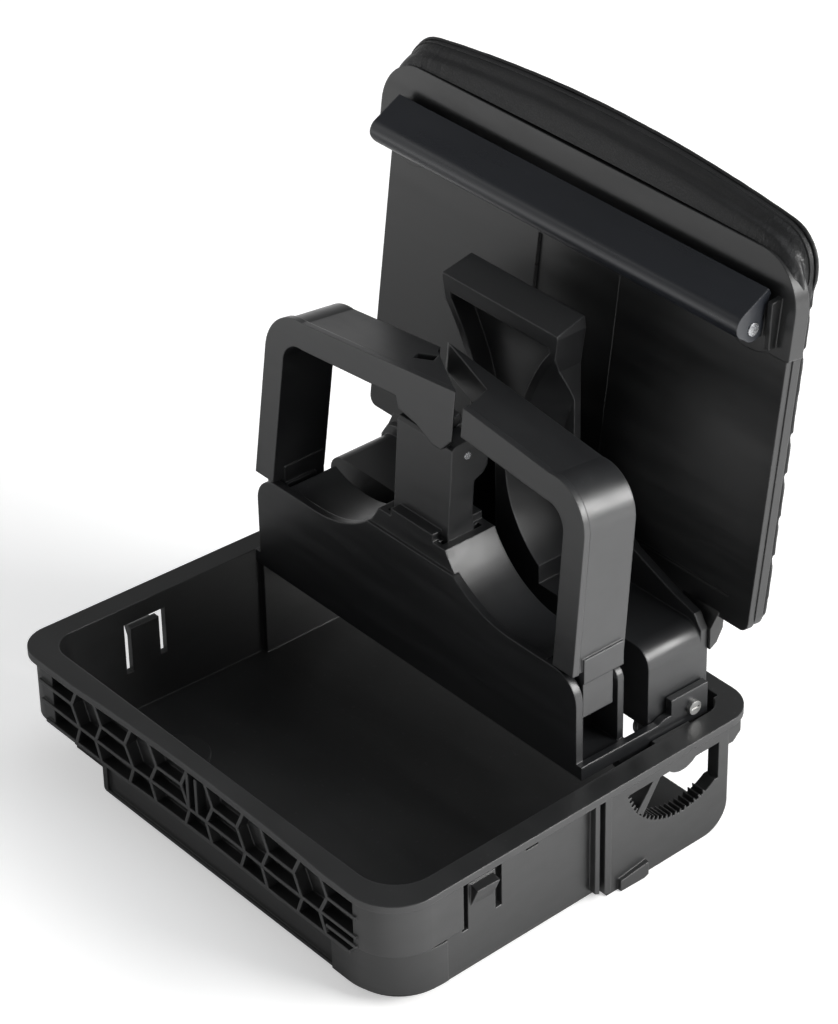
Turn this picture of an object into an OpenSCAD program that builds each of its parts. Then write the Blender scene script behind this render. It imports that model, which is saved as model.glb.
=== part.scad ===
/* [Tray] */
// Width of the tray rim along its front edge, outside to outside
rim_w = 170; // [168:1:178]
// Width of the tray rim along its rear edge
rear_w = 162; // [160:1:166]
// Depth of the tray rim from front to rear
rim_d = 140; // [138:1:146]
// Height of the tray from its underside to the rim
tray_h = 40; // [40:0.5:46]
// Thickness of the moulded tray walls
wall_t = 2.2; // [1.8:0.1:2.4]
// Thickness of the rim flange
flange_t = 2.4; // [2:0.1:3]
// How far the rim flange stands out past the wall
flange_out = 5; // [4.4:0.1:5.4]

// How far the front edge sweeps inward at its middle
front_bow = 1.8; // [0:0.1:2]

/* [Honeycomb wall] */
// Thickness of the stiffening ribs on the front wall
rib_t = 1.1; // [0.9:0.1:1.4]
// Distance from one hexagon to the next along the front wall
hex_pitch = 25.5; // [25:0.1:26]
// How far the ribs stand off the front wall
rib_depth = 3.9; // [3:0.1:4.1]

/* [Swing hinge] */
// Radius of the steel hinge pins
hinge_pin_r = 2; // [1.6:0.1:2.2]
// Turn of the cup holder from open to folded away, in degrees
swing_deg = 88; // [80:1:88]
// Gear module of the toothed arc and the damper gear
gear_mod = 0.6; // [0.58:0.01:0.62]
// Teeth of the damper gear
gear_teeth = 12; // [12:1:13]

/* [Cup rings] */
// Radius of the cup cradles
cup_r = 33; // [31:0.5:34]
// Distance of each cup centre from the middle plane
cup_x = 43; // [42.5:0.5:44]
// Backward lean of the ring arms, in degrees
arm_lean = 6.6; // [5:0.2:7]
// Depth of the ring arms from front to rear
arm_depth = 19.4; // [17:0.2:19.6]
// Width of the ring arm band
arm_band = 8.2; // [7.4:0.2:8.6]
// Turn of each arm away from the centre post, in degrees
spread_deg = 5; // [3:1:5]

/* [Lid] */
// Width of the lid panel
lid_w = 163.4; // [160:0.2:165]
// Length of the lid panel from hinge edge to free edge
lid_l = 114; // [112:0.5:116]
// Backward lean of the open lid, in degrees
lid_lean = 7.7; // [6:0.1:8.5]
// Thickness of the padded cover at its middle
pad_t = 5.6; // [4.4:0.2:6.4]
// How far the cover stands past the free edge of the panel at its middle
cover_over = 12; // [9:0.5:13]
// How much lower the cover's free edge is at its corners than at its middle
cover_rise = 6.4; // [4:0.2:8]

/* [Fits] */
// Gap on the radius between a turning part and its pin
run_clear = 0.06; // [0.04:0.01:0.1]
// Gap between neighbouring mouldings
part_gap = 0.4; // [0.3:0.05:0.5]

/* [Hidden] */
$fn = 64;
eps = 0.02;
half_f = rim_w / 2;
half_r = rear_w / 2;
front_y = -rim_d / 2;
back_y = rim_d / 2;
taper = atan((half_f - half_r) / rim_d);
flange_z = tray_h - flange_t;
wall_in = flange_out;
core_in = flange_out + wall_t;
hub_y = 43;
hub_z = tray_h - 3.5;
hub_r = 7.5;
hub_x = half_at(hub_y) - core_in;
cheek_t = 2.3;
cheek_gap = 2.37;
cheek_x = hub_x - cheek_gap - cheek_t;
ring_teeth = 72;
ring_r = gear_mod * ring_teeth / 2;
gear_r = gear_mod * gear_teeth / 2;
gear_off = ring_r - gear_r;
gear_deg = -158.5;
gear_y = hub_y + gear_off * cos(gear_deg);
gear_z = hub_z + gear_off * sin(gear_deg);
jamb_y = 57.6;
floor_t = 2.2;
frame_z = hub_z + 2;
cup_z = hub_z + 63.5;
plate_y = 10;
plate_t = 2.5;
frame_x = cheek_x + 0.1;
slot_x = cheek_x - 12.9;
rear_plate_y = 29.5;
block_y = 37.5;
block_back = 60;
block_x = cheek_x - 0.4;
block_z = hub_z + 7.5;
block_low = hub_z + 4.5;
lap_z = hub_z + 35.5;
arm_y = 9.2;
pivot_x = cheek_x - 6.4;
arm_x = cheek_x - 1.7;
pivot_z = hub_z + 24.5;
pivot_r = 1.5;
post_x = 11.7;
post_pin_y = 22.1;
post_pin_z = hub_z + 74.3;
post_pin_r = 1.2;
screw_r = 1.1;
side_screw_y = hub_y + 9;
side_screw_z = hub_z + 7;
lid_screw_x = cheek_x - 7.9;
lid_screw_z = hub_z + 25;
lid_y = 63.05;
lid_z = hub_z + 31.5;
bar_y = 65.9;
bar_z = hub_z + 126.3;
bar_pin_r = 1.9;
bar_half = lid_w / 2 - 4.7;
bar_left = bar_half - 3;
bar_cap = 2.3;
ear_t = 2.6;
tilt_c = 27.6;

// Half width of the rim at a distance along the tray
function half_at(y) = half_f - (half_f - half_r) * (y - front_y) / rim_d;

// Outline of the tray seen from above, moved inward from the rim edge, with its
// right front, rear and left front corner radii
module outline(inset, rf, rr, rl) {
  nx = cos(taper);
  ny = sin(taper);
  yf = front_y + inset + rf;
  yl = front_y + inset + rl;
  yr = back_y - inset - rr;
  xf = half_at(yf) - inset - rf / nx;
  xl = half_at(yl) - inset - rl / nx;
  xr = half_at(yr) - inset - rr / nx;
  polygon([
    [-xl, front_y + inset], [xf, front_y + inset],
    [xf + rf * nx, yf + rf * ny], [xr + rr * nx, yr + rr * ny],
    [xr, back_y - inset], [-xr, back_y - inset],
    [-xr - rr * nx, yr + rr * ny], [-xl - rl * nx, yl + rl * ny]]);
  translate([xf, yf]) circle(r = rf);
  translate([-xl, yl]) circle(r = rl);
  for (s = [-1, 1]) {
    translate([s * xr, yr]) circle(r = rr);
  }
}

// A flat shape drawn as depth and height, given a width along X
module side_plate(x0, x1) {
  translate([x0, 0, 0]) rotate([90, 0, 90]) linear_extrude(height = x1 - x0) children();
}

// A flat shape drawn as width and height, given a depth along Y
module front_plate(y0, y1) {
  translate([0, y1, 0]) rotate([90, 0, 0]) linear_extrude(height = y1 - y0) children();
}

// A round bar along X
module x_bar(x0, x1, y, z, r) {
  translate([x0, y, z]) rotate([0, 90, 0]) cylinder(h = x1 - x0, r = r);
}

// A round bar along Y
module y_bar(y0, y1, x, z, r) {
  translate([x, y0, z]) rotate([-90, 0, 0]) cylinder(h = y1 - y0, r = r);
}

// Face of one straight rib between two points given as width and height
module wall_rib(x0, z0, x1, z1) {
  len = sqrt((x1 - x0) * (x1 - x0) + (z1 - z0) * (z1 - z0));
  translate([x0, z0]) rotate(atan2(z1 - z0, x1 - x0))
    translate([-rib_t / 2, -rib_t / 2]) square([len + rib_t, rib_t]);
}

// Hexagon stiffening on the front wall, three long shelves joined by angled ribs
module honeycomb_face() {
  top = flange_z + 0.2;
  shelf = flange_z - 13;
  low = flange_z - 19.6;
  mid = (top + shelf) / 2;
  x_left = -half_f + 12;
  x_right = half_f - 16;
  x_first = -half_f + 26.3;
  last = floor((x_right - x_first - 15.4) / hex_pitch);
  wall_rib(x_left - 0.6, shelf, x_right, shelf);
  wall_rib(x_left + 1, low, x_right - 3, low);
  wall_rib(x_left - 1.2, mid, x_first, mid);
  for (i = [0 : last]) {
    x = x_first + i * hex_pitch;
    next = i < last ? x + hex_pitch : x_right;
    wall_rib(x, mid, x + 3.2, top);
    wall_rib(x, mid, x + 3.1, shelf + 0.3);
    wall_rib(x + 14.4, mid, x + 11.2, top);
    wall_rib(x + 14.4, mid, x + 11.3, shelf + 0.3);
    wall_rib(x + 14.4, mid, next, mid);
    wall_rib(x + 3.5, shelf - 0.2, x + 1.2, low + 0.3);
    wall_rib(x + 10.9, shelf - 0.2, x + 13.2, low + 0.3);
  }
  // Two short upright ribs in the middle and two short shelves at the right end
  wall_rib(-4.6, shelf + 0.2, -4.6, top - 1.6);
  wall_rib(-0.8, shelf + 0.2, -0.8, top - 1.6);
  wall_rib(x_right - 11.6, (shelf + low) / 2, x_right, (shelf + low) / 2);
}

// Slots that free a springy snap tab in a side wall, the tab pointing up
module tab_slots(s) {
  x0 = s > 0 ? half_at(-33) - 12 : -half_at(-33) - 2;
  y0 = s > 0 ? -39.8 : -36.4;
  translate([x0, y0, tray_h - 23.6]) cube([14, 2.4, 17.6]);
  translate([x0, y0 + 12.4, tray_h - 22]) cube([14, 2.4, 16]);
  translate([x0, y0, tray_h - 8.2]) cube([14, 14.8, 2.2]);
}

// Wedge on the free end of a snap tab
module tab_wedge(s) {
  x = half_at(-33) - wall_in;
  translate([0, s > 0 ? -28.4 : -25, 0]) rotate([90, 0, 0]) linear_extrude(height = 8)
    polygon([[s * (x - 0.6), tray_h - 16], [s * (x - 0.6), tray_h - 8.6], [s * (x + 3), tray_h - 9.6],
      [s * (x + 0.2), tray_h - 16]]);
}

// Shape of the window around the hinge, seen from the side
module window_shape() {
  difference() {
    union() {
      translate([hub_y, hub_z]) circle(r = ring_r + 0.7);
      translate([hub_y, 18.5]) square([jamb_y - hub_y, flange_z - 25]);
      translate([jamb_y - 2, flange_z - 8.5]) circle(r = 2);
    }
    translate([0, flange_z - 6.5]) square([80, 30]);
    translate([jamb_y, 0]) square([20, 60]);
    translate([0, 0]) square([hub_y - ring_r + 0.2, 60]);
  }
}

// Teeth of the fixed arc, seen from the side
module arc_teeth() {
  for (i = [0 : 20]) {
    a = -166 + i * 360 / ring_teeth;
    translate([hub_y, hub_z]) rotate(a)
      polygon([[ring_r + 1.2, -0.5], [ring_r + 0.7, -0.47], [ring_r - 0.5, -0.14],
        [ring_r - 0.5, 0.14], [ring_r + 0.7, 0.47], [ring_r + 1.2, 0.5]]);
  }
}

module side_details(s) {
  x_mid = half_at(30) - wall_in;
  x0 = x_mid - 3.6;
  mirror([s > 0 ? 0 : 1, 0, 0]) {
    difference() {
      intersection() {
        side_plate(x0, x_mid + 2.2) difference() {
          union() {
            translate([13.6, 0]) square([47.9 - 9, flange_z + eps]);
            translate([13.6, 9]) square([47.9, flange_z - 9 + eps]);
            translate([52.5, 9]) circle(r = 9);
          }
        }
        linear_extrude(height = tray_h) outline(wall_in - 1.5, 14, 6, 14);
      }
    }
    side_plate(half_at(11) - wall_in - 0.5, half_at(11) - wall_in + 2.4)
      polygon([[8.3, 4], [8.3, flange_z], [9.9, flange_z], [9.9, 3.2]]);
    side_plate(half_at(11) - wall_in - 0.5, half_at(11) - wall_in + 2.8)
      polygon([[11.6, 2.4], [11.6, flange_z], [14, flange_z], [14, 2.4]]);
    side_plate(x_mid - 1, x_mid + 3.2)
      polygon([[18, 0], [18, 3.6], [28.6, 5], [28.6, 0.6], [27, 0]]);
    side_plate(half_at(62) - wall_in - 2.4, half_at(62) - wall_in + 1.2)
      polygon([[60, flange_z - 9.5], [60, flange_z - 2], [66.4, flange_z - 2], [66.4, flange_z - 6.8],
        [63.6, flange_z - 9.5]]);
  }
}

module housing() {
  color([0.05, 0.05, 0.055]) difference() {
    union() {
      // Rim flange, wall and floor with the inside cut away
      difference() {
        union() {
          translate([0, 0, flange_z]) linear_extrude(height = flange_t) outline(0, 15, 11, 10);
          translate([0, 0, 4]) linear_extrude(height = flange_z - 4 + eps) outline(wall_in, 17, 8, 12);
          // Lower edge eased in small steps
          for (k = [0 : 5]) {
            translate([0, 0, k * 0.7]) linear_extrude(height = 0.9)
              outline(wall_in + 3.2 * pow(1 - (k + 0.5) / 6, 2), 17 - 3.2 * pow(1 - (k + 0.5) / 6, 2), 6,
                12 - 3.2 * pow(1 - (k + 0.5) / 6, 2));
          }
          intersection() {
            translate([0, 0, flange_z - 16.6]) linear_extrude(height = 16.6 + eps) outline(1.6, 14.5, 9, 9);
            translate([half_f - 17, front_y - 5, 0]) cube([60, 33, 60]);
          }
          intersection() {
            translate([0, 0, flange_z - 20.5]) linear_extrude(height = 20.5 + eps) outline(1.9, 14, 9, 9);
            translate([-half_f - 15, front_y - 5, 0]) cube([31, 16, 60]);
          }
          intersection() {
            translate([0, 0, 4]) linear_extrude(height = 14) outline(wall_in - 1.3, 18, 9, 9);
            translate([half_f - 29.4, front_y - 5, 0]) cube([60, 29, 60]);
          }
        }
        difference() {
          translate([0, 0, floor_t]) linear_extrude(height = 60) outline(core_in, 13, 6, 8);
          translate([-half_f - 15, front_y - 1, 0]) cube([51.2, 16.2, 18.2]);
        }
        translate([-half_f - 15, front_y - 1, -1]) cube([49, 14, 17]);
        // Open back under the rear edge of the rim
        translate([-half_r + 15, back_y - 15, floor_t]) cube([rear_w - 30, 30, 23]);
        translate([-rear_w, back_y - 8.6, -1]) cube([2 * rear_w, 30, 26.2]);
      }
      front_plate(front_y + wall_in - rib_depth, front_y + wall_in + 0.3) honeycomb_face();
      side_details(1);
      side_details(-1);
      tab_wedge(1);
      tab_wedge(-1);
      // Low round seat on the floor
      translate([-half_f + 35, front_y + 31.5, floor_t - 0.1]) cylinder(h = 0.9, r = 9.5);
      // Bearing bosses for the hinge pins
      for (s = [-1, 1]) {
        intersection() {
          side_plate(s > 0 ? hub_x - 1.8 : -hub_x - 3.4, s > 0 ? hub_x + 3.4 : -hub_x + 1.8)
            translate([hub_y, hub_z]) circle(r = hub_r);
          translate([-rim_w, 0, 0]) cube([2 * rim_w, 80, tray_h - 0.6]);
        }
      }
    }
    tab_slots(1);
    tab_slots(-1);
    // Slight inward sweep of the front edge
    translate([0, front_y + front_bow - 900, 12]) cylinder(h = 40, r = 900, $fn = 256);
    // Small square hole under the rim
    translate([half_at(-14) - 12, -16, tray_h - 8.6]) cube([14, 4.6, 3]);
    // Shallow panel recessed into the front wall
    translate([-half_f + 36, front_y + wall_in - 1, 3.6]) cube([rim_w - 66, 1.9, 12.4]);
    // Rear corner pockets in the rim
    for (s = [-1, 1]) {
      translate([s * (half_r - 13.5) - 2.6, back_y - 10.2, tray_h - 6]) cube([5.2, 4.4, 8]);
    }
    // Hinge windows left clear round the bosses
    for (s = [-1, 1]) {
      difference() {
        side_plate(s > 0 ? hub_x - 6 : -hub_x - 12, s > 0 ? hub_x + 12 : -hub_x + 6) difference() {
          window_shape();
          translate([hub_y, hub_z]) circle(r = hub_r);
          arc_teeth();
          if (s > 0) {
            polygon([[31.6, 31.4], [34.4, 31.4], [27.5, 21.2], [25.2, 23.2]]);
          }
        }
      }
      x_bar(s > 0 ? hub_x - 4 : -hub_x - 8, s > 0 ? hub_x + 8 : -hub_x + 4, hub_y, hub_z, hinge_pin_r);
    }
    // Room for the damper gear at the top of the left window
    x_bar(-hub_x - 9, -hub_x + 4, gear_y, gear_z, gear_r + 1);
  }
}

// Side view of a hinge cheek of the cup holder
module cheek_shape(with_damper) {
  translate([plate_y, frame_z]) square([block_back - 2 - plate_y, 4.4]);
  translate([44, frame_z]) square([block_back - 2 - 44, 10.5]);
  translate([hub_y, hub_z]) circle(r = hub_r);
  translate([24, frame_z - 3]) square([24, 6]);
  if (with_damper) {
    translate([gear_y, gear_z]) circle(r = 5.2);
    polygon([[gear_y - 5.2, gear_z], [gear_y - 5.2, frame_z + 1], [hub_y, frame_z + 1], [hub_y, hub_z - 5],
      [gear_y + 2, gear_z - 4.8]]);
  }
}

module cup_cut(r, y0, y1) {
  for (s = [-1, 1]) {
    y_bar(y0, y1, s * cup_x, cup_z, r);
  }
}

module carrier() {
  hump_z = hub_z + 34.5;
  top_z = hub_z + 43;
  shelf_z = frame_z + 3;
  color([0.055, 0.055, 0.06]) difference() {
    union() {
      // Front plate with its wavy upper edge
      difference() {
        front_plate(plate_y, plate_y + plate_t) {
          translate([-frame_x + 9, frame_z]) square([2 * frame_x - 18, hump_z - frame_z]);
          translate([-frame_x, frame_z]) square([2 * frame_x, hump_z - frame_z - 9]);
          for (s = [-1, 1]) {
            translate([s * (frame_x - 9), hump_z - 9]) circle(r = 9);
          }
          translate([-cup_x, frame_z]) square([2 * cup_x, top_z - frame_z]);
        }
        for (s = [-1, 1]) {
          y_bar(plate_y - 1, plate_y + plate_t + 1, s * cup_x, hump_z + 39, 39);
        }
      }
      // Cradle shells behind the plate
      difference() {
        translate([-slot_x, plate_y + 1, frame_z])
          cube([2 * slot_x, rear_plate_y - plate_y - 1, cup_z - frame_z - 12]);
        cup_cut(cup_r - 1, plate_y, rear_plate_y + 1);
        translate([-slot_x - 1, plate_y, top_z + 6]) cube([slot_x + 1 - 9, 30, 40]);
        translate([9, plate_y, top_z + 6]) cube([slot_x, 30, 40]);
        translate([-slot_x - 1, plate_y, hump_z + 2]) cube([16, 30, 40]);
        translate([slot_x - 15, plate_y, hump_z + 2]) cube([16, 30, 40]);
        difference() {
          translate([-slot_x + 2.4, plate_y + plate_t, frame_z - 1])
            cube([2 * slot_x - 4.8, rear_plate_y - plate_y - plate_t - 2.4, 70]);
          cup_cut(cup_r + 1.4, plate_y, rear_plate_y + 1);
          translate([-10, plate_y, frame_z + 24]) cube([20, 30, 60]);
        }
      }
      // Rear plates behind the leg slots
      for (s = [-1, 1]) {
        front_plate(rear_plate_y - 2.2, rear_plate_y) {
          translate([s > 0 ? slot_x - 3 : -frame_x + 2, frame_z]) square([frame_x - slot_x + 1, 23]);
          translate([s > 0 ? slot_x - 3 : -frame_x + 6, frame_z]) square([frame_x - slot_x - 3, 27]);
          translate([s * (frame_x - 6), frame_z + 23]) circle(r = 4);
        }
        translate([s > 0 ? slot_x - 1 : -frame_x, plate_y + 1, frame_z])
          cube([frame_x - slot_x + 1, rear_plate_y - plate_y - 1, 3]);
        translate([s > 0 ? slot_x - 2.4 : -slot_x, plate_y + 1, frame_z])
          cube([2.4, rear_plate_y - plate_y - 1, 30]);
      }
      // Centre post with its wider head
      side_plate(-post_x, post_x)
        polygon([[13.2, top_z - 8], [14.2, hub_z + 46.3], [16.5, hub_z + 77.8], [17.4, hub_z + 78.8],
          [25, hub_z + 79.4], [28.6, hub_z + 76.6], [29.7, hub_z + 74.5], [29.4, hub_z + 68.5],
          [27.6, hub_z + 66.3], [24.4, hub_z + 65], [23.6, hub_z + 54], [24.4, hub_z + 46], [28, top_z - 8]]);
      // Hinge cheeks
      side_plate(cheek_x, cheek_x + cheek_t) cheek_shape(false);
      side_plate(-cheek_x - cheek_t, -cheek_x) cheek_shape(true);
      for (s = [-1, 1]) {
        translate([s > 0 ? frame_x - 3 : -cheek_x - 0.4, plate_y + 0.4, frame_z])
          cube([cheek_x - frame_x + 3.4, rear_plate_y - plate_y - 0.4, 3]);
      }
    }
    // Bores for the hinge pins, arm pins, catch pin and damper shaft
    x_bar(-hub_x - 9, hub_x + 9, hub_y, hub_z, hinge_pin_r + run_clear);
    x_bar(-cheek_x - 5, -cheek_x + 1, gear_y, gear_z, 1.2 + run_clear);
    x_bar(-post_x - 1, post_x + 1, post_pin_y, post_pin_z, post_pin_r);
    x_bar(-cheek_x - 5, cheek_x + 5, side_screw_y, side_screw_z, screw_r);
    for (s = [-1, 1]) {
      y_bar(plate_y + 1.2, rear_plate_y + 1, s * pivot_x, pivot_z, pivot_r);
    }
    // Slot for the catch in the head of the post
    translate([-4.5, 18.2, hub_z + 60]) cube([9, 20, 30]);
  }
}

module rear_block() {
  color([0.055, 0.055, 0.06]) difference() {
    union() {
      // Block with a cup recess on each side
      difference() {
        union() {
          front_plate(block_y, block_back - 2.4) {
            translate([-block_x + 6, block_low]) square([2 * block_x - 12, cup_z - 33 - block_low]);
            translate([-block_x, block_low]) square([2 * block_x, cup_z - 39 - block_low]);
            for (s = [-1, 1]) {
              translate([s * (block_x - 6), cup_z - 39]) circle(r = 6);
            }
            translate([-24, block_z]) square([48, cup_z - block_z]);
          }
          front_plate(block_back - 2.6, block_back)
            polygon([[-block_x, block_low], [block_x, block_low], [block_x, hub_z + 28.5],
              [block_x - 3, hub_z + 33], [block_x - 11.5, hub_z + 35.5], [42, hub_z + 42], [30, hub_z + 51], [22, hub_z + 63],
              [-22, hub_z + 63], [-30, hub_z + 51], [-42, hub_z + 42],
              [-block_x + 11.5, hub_z + 35.5], [-block_x + 3, hub_z + 33], [-block_x, hub_z + 28.5]]);
        }
        cup_cut(cup_r, block_y - 1, block_back - 2.6);
        // Hollow underside and open front of the centre
        translate([-block_x + 2.4, block_y + 2.4, block_z - 8]) cube([2 * block_x - 4.8, 16, 22]);
        translate([-5.6, block_y - 1, block_z + 16]) cube([11.2, 17, 60]);
      }
      // Flared centre divider with concave flanks and a hollow front
      difference() {
        front_plate(44.2, 54.8)
          polygon([[-23.6, hub_z + 112], [23.6, hub_z + 112], [24.2, hub_z + 108], [22.2, hub_z + 96],
            [22.2, hub_z + 56], [-22.2, hub_z + 56], [-22.2, hub_z + 96], [-24.2, hub_z + 108]]);
        // Top that rises to the rear
        translate([-40, 44.2, hub_z + 109]) rotate([13, 0, 0]) translate([0, -10, 0]) cube([80, 30, 20]);
        for (s = [-1, 1]) {
          translate([s * 80, 43, hub_z + 57.5]) rotate([-90, 0, 0]) cylinder(h = 9.4, r1 = 73, r2 = 64);
        }
        front_plate(43, 50.6) difference() {
          translate([-20.6, hub_z + 50]) square([41.2, 54]);
          for (s = [-1, 1]) {
            translate([s * 80, hub_z + 57.5]) circle(r = 74.4);
          }
        }
      }
      // Root of the divider down to the block
      front_plate(52.2, block_back - 1) translate([-14, hub_z + 40]) square([28, 24]);
      // Bosses that take the screws from the cheeks and the lid
      for (s = [-1, 1]) {
        x_bar(s > 0 ? block_x - 11.5 : -block_x, s > 0 ? block_x : -block_x + 11.5, side_screw_y, side_screw_z, 3.6);
      }
    }
    for (s = [-1, 1]) {
      x_bar(s > 0 ? block_x - 9.5 : -block_x - 3, s > 0 ? block_x + 3 : -block_x + 9.5, side_screw_y, side_screw_z,
        screw_r);
      y_bar(block_back - 9, block_back + 2, s * lid_screw_x, lid_screw_z, screw_r);
    }
  }
}

// Front view of the right ring arm, width and height along the arm
module arm_outer() {
  translate([arm_x - 14, 42]) circle(r = 14);
  polygon([[-20, -3], [-20, 63.6], [arm_x - 15.46, 55.92], [arm_x - 8.2, 52], [arm_x, 42], [arm_x + 1.2, -3]]);
}

module arm_inner() {
  translate([arm_x - arm_band - 7.2, 56 - arm_band - 7.2]) circle(r = 7.2);
  polygon([[-40, -4], [-40, 64.6 - arm_band - 0.6], [arm_x - arm_band - 7.95, 55.95 - arm_band - 0.04],
    [arm_x - arm_band, 56 - arm_band - 7.2], [arm_x + 1.2 - arm_band, -4]]);
}

// Places the arm shape at its lean
module arm_frame() {
  translate([0, arm_y, lap_z]) rotate([-arm_lean, 0, 0]) children();
}

// Leg tongue with its pivot bore, right hand side
module arm_tongue() {
  difference() {
    union() {
      translate([pivot_x - 3.9, 13.4, pivot_z - 4.4]) cube([9.4, 11, 14]);
      y_bar(13.4, 24.4, pivot_x + 0.6, pivot_z - 1.2, 4.6);
      translate([pivot_x - 2.9, 13.4, pivot_z + 7]) cube([8.8, 14.6, 8]);
    }
    y_bar(10, 30, pivot_x, pivot_z, pivot_r + run_clear);
  }
}

module right_arm() {
  color([0.06, 0.06, 0.066]) union() {
    difference() {
      arm_frame() difference() {
        front_plate(0, arm_depth) difference() {
          arm_outer();
          arm_inner();
        }
        translate([0, 0, -10]) linear_extrude(height = 100)
          polygon([[-60, -1], [17.4, -1], [15, 6.7], [12, 13], [-12.4, arm_depth + 0.1], [-60, arm_depth + 1]]);
        translate([arm_x - 18.2, -1, -10]) cube([30, arm_depth + 2, 10.3]);
        // Shallow step that leaves a lip along the front edge
        front_plate(2.2, arm_depth + 1) difference() {
          translate([-30, -20]) square([120, 100]);
          offset_arm();
        }
      }
    }
    arm_tongue();
  }
}

// Arm outline drawn slightly smaller, behind the front lip
module offset_arm() {
  translate([arm_x - 14, 42]) circle(r = 13.4);
  polygon([[-20, -3], [-20, 62.98], [arm_x - 15.52, 55.32], [arm_x - 8.2, 51.2], [arm_x - 0.6, 42],
    [arm_x + 0.6, -3]]);
}

module left_arm() {
  color([0.06, 0.06, 0.066]) union() {
    difference() {
      arm_frame() difference() {
        union() {
          mirror([1, 0, 0]) front_plate(0, arm_depth) difference() {
            arm_outer();
            arm_inner();
          }
          // Stop tab in front of the centre post
          front_plate(0, 1.9)
            polygon([[-11, 53], [-9, 48], [-1, 46.6], [6, 43.4], [9.6, 43.4], [13.4, 47.6], [13.4, 60], [-11, 56]]);
        }
        translate([0, 0, -10]) linear_extrude(height = 100)
          polygon([[60, -1], [14, -1], [13.2, 0.6], [-13.4, 17.2], [-15.4, arm_depth + 1], [60, arm_depth + 1]]);
        translate([-arm_x - 11.8, -1, -10]) cube([30, arm_depth + 2, 10.3]);
        front_plate(2.2, arm_depth + 1) difference() {
          translate([-90, -20]) square([120, 100]);
          mirror([1, 0, 0]) offset_arm();
        }
        // Pocket that receives the finger of the other arm
        translate([-12, 11.5, 55]) rotate([0, 0, 30]) cube([6, 3.6, 20], center = true);
      }
    }
    mirror([1, 0, 0]) arm_tongue();
  }
}

module arm_pin(s) {
  color([0.72, 0.73, 0.75]) y_bar(plate_y + 1.3, rear_plate_y - 0.1, s * pivot_x, pivot_z, pivot_r);
}

module left_arm_pin() {
  arm_pin(-1);
}

module right_arm_pin() {
  arm_pin(1);
}

// Close wound coil along X, drawn as touching turns, with two straight legs
module coil_x(x0, turns, y, z, r, wire, leg_a, leg_b, leg) {
  translate([x0, y, z]) rotate([0, 90, 0]) rotate_extrude() {
    for (i = [0 : turns - 1]) {
      translate([r, wire + i * wire * 1.8]) circle(r = wire, $fn = 24);
    }
  }
  for (k = [0, 1]) {
    translate([x0 + wire + k * (turns - 1) * wire * 1.8, y, z]) rotate([k == 0 ? leg_a : leg_b, 0, 0])
      translate([0, r, 0]) cylinder(h = leg, r = wire * 0.9);
  }
}

module arm_spring(s) {
  color([0.6, 0.61, 0.63]) translate([s * pivot_x, 0, pivot_z]) rotate([0, 0, 90])
    coil_x(rear_plate_y - 4.7, 3, 0, 0, pivot_r + 0.75, 0.35, s > 0 ? 180 : 0, s > 0 ? 200 : -20, 3);
}

module left_arm_spring() {
  arm_spring(-1);
}

module right_arm_spring() {
  arm_spring(1);
}

module arm_catch() {
  color([0.07, 0.07, 0.075]) difference() {
    union() {
      x_bar(-4.1, 4.1, post_pin_y, post_pin_z, 3);
      side_plate(-4.1, 4.1)
        polygon([[post_pin_y - 2.4, post_pin_z + 0.4], [post_pin_y - 1, post_pin_z + 7.6],
          [post_pin_y + 4, post_pin_z + 8.6], [post_pin_y + 4.6, post_pin_z + 6.4],
          [post_pin_y + 2.2, post_pin_z + 4.6], [post_pin_y + 2.4, post_pin_z + 0.4]]);
      side_plate(-4, 4)
        polygon([[post_pin_y + 0.6, post_pin_z - 2.4], [post_pin_y + 2.4, post_pin_z - 0.4],
          [post_pin_y + 6.6, post_pin_z - 5], [post_pin_y + 5, post_pin_z - 6.4]]);
    }
    x_bar(-6, 6, post_pin_y, post_pin_z, post_pin_r + run_clear);
  }
}

module catch_pin() {
  color([0.78, 0.79, 0.81]) x_bar(-post_x - 0.2, post_x + 0.2, post_pin_y, post_pin_z, post_pin_r);
}

module catch_spring() {
  color([0.6, 0.61, 0.63])
    y_bar(18.3, 19.2, 0, hub_z + 67.6, 1.5);
}

// Places lid pieces, drawn with depth behind the inner face and height from the hinge edge
module lid_frame() {
  translate([0, lid_y, lid_z]) rotate([-lid_lean, 0, 0]) children();
}

// Front view of the lid, half width, height and the two corner radii
module lid_outline(hw, h0, h1, rb, rt) {
  translate([-hw + rb, h0]) square([2 * hw - 2 * rb, rb + 1]);
  translate([-hw, h0 + rb]) square([2 * hw, h1 - h0 - rb - rt]);
  translate([-hw + rt, h1 - rt - 1]) square([2 * hw - 2 * rt, rt + 1]);
  for (s = [-1, 1]) {
    translate([s * (hw - rb), h0 + rb]) circle(r = rb);
    translate([s * (hw - rt), h1 - rt]) circle(r = rt);
  }
}

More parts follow.
